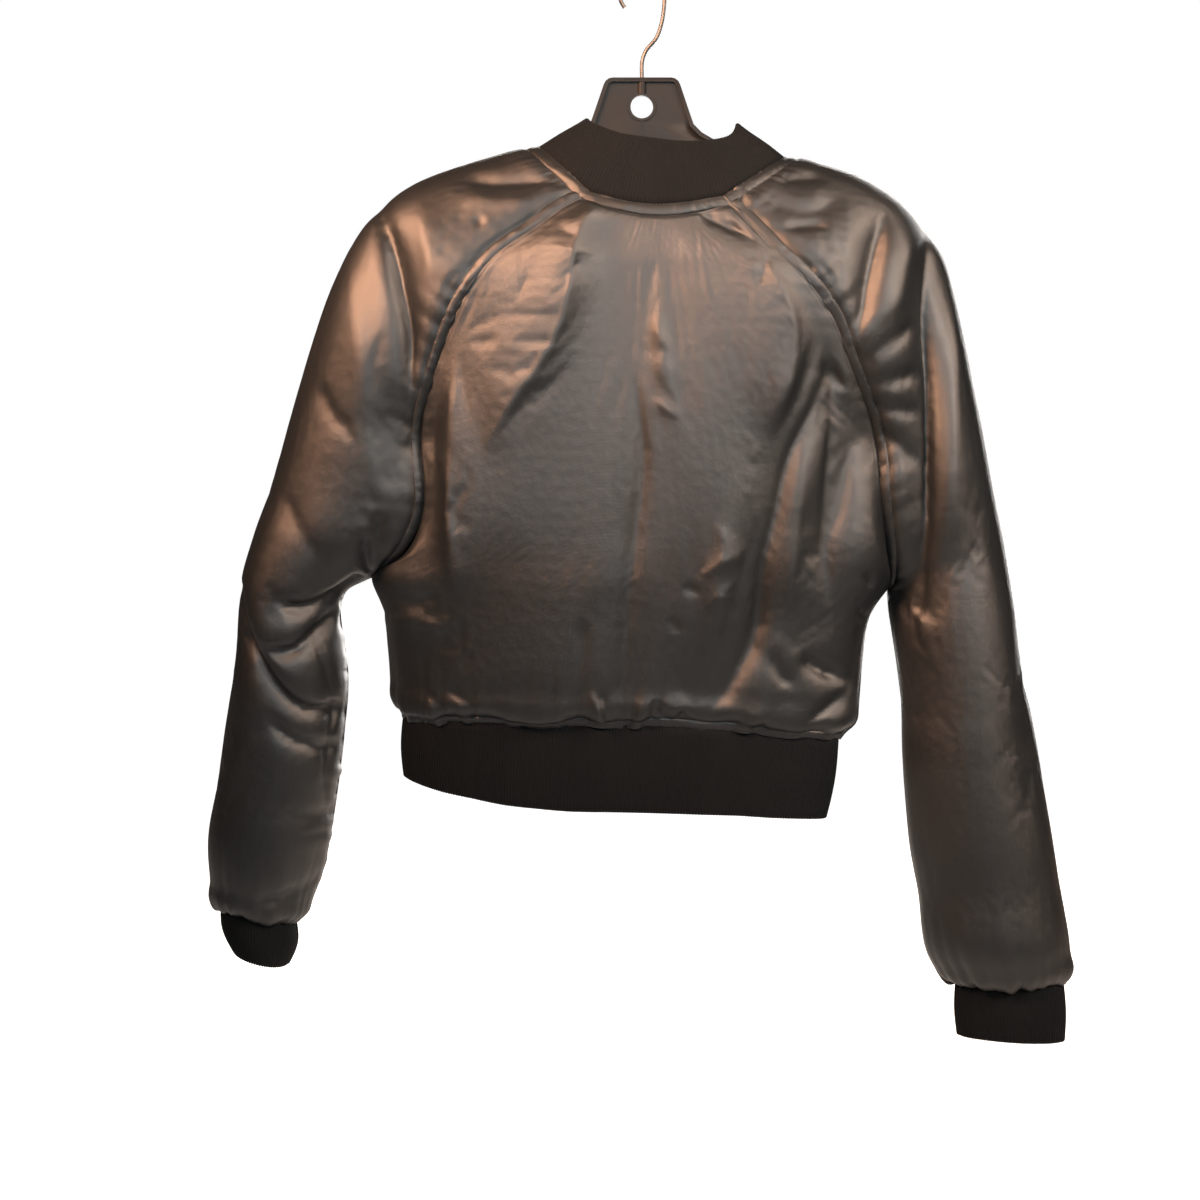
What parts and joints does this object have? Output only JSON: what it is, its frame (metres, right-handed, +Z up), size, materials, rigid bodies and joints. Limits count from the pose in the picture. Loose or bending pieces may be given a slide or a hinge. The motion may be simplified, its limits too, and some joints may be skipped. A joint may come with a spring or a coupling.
{
  "type": "padded bomber jacket on a hanger",
  "caption": "Cropped, lightly padded satin bomber jacket with raglan sleeves, rib collar, cuffs and hem and a front zip, hung on a plastic hanger with a wire hook.",
  "frame": {"origin": "the inner top of the hanger's hook, where a rail carries it", "axes": "+Z up, -Y the jacket's front, +X the wearer's left"},
  "size_m": [0.673, 0.1499, 0.8168],
  "materials": {
    "satin": "dark charcoal satin with a soft warm sheen, lightly padded",
    "rib_knit": "fine matt rib knit",
    "zip_tape": "matt woven tape",
    "zip_metal": "dark gunmetal",
    "hanger_plastic": "black moulded plastic, half gloss",
    "hook_wire": "bright zinc-plated wire"
  },
  "bodies": {
    "root": {"back_panel": "satin", "front_left": "satin", "front_right": "satin", "sleeve_left": "satin", "sleeve_right": "satin", "raglan_band_back_left": "satin", "raglan_band_front_left": "satin", "raglan_band_back_right": "satin", "raglan_band_front_right": "satin", "neck_band": "satin", "hem_band": "satin", "rib_collar": "rib_knit", "rib_hem": "rib_knit", "cuff_left": "rib_knit", "cuff_right": "rib_knit", "zip_tape_left": "zip_tape", "zip_tape_right": "zip_tape", "zip_chain": "zip_metal", "zip_slider": "zip_metal", "hanger_body": "hanger_plastic", "hanger_hook": "hook_wire"},
    "pull_tab": {"zip_pull": "zip_metal"}
  },
  "joints": [
    {"name": "pull_tab_hinge", "type": "hinge", "parent": "root", "child": "pull_tab", "pos_m": [-0.015, -0.07115, -0.227], "axis": [-1, 0, 0], "range_deg": [0, 150]}
  ]
}
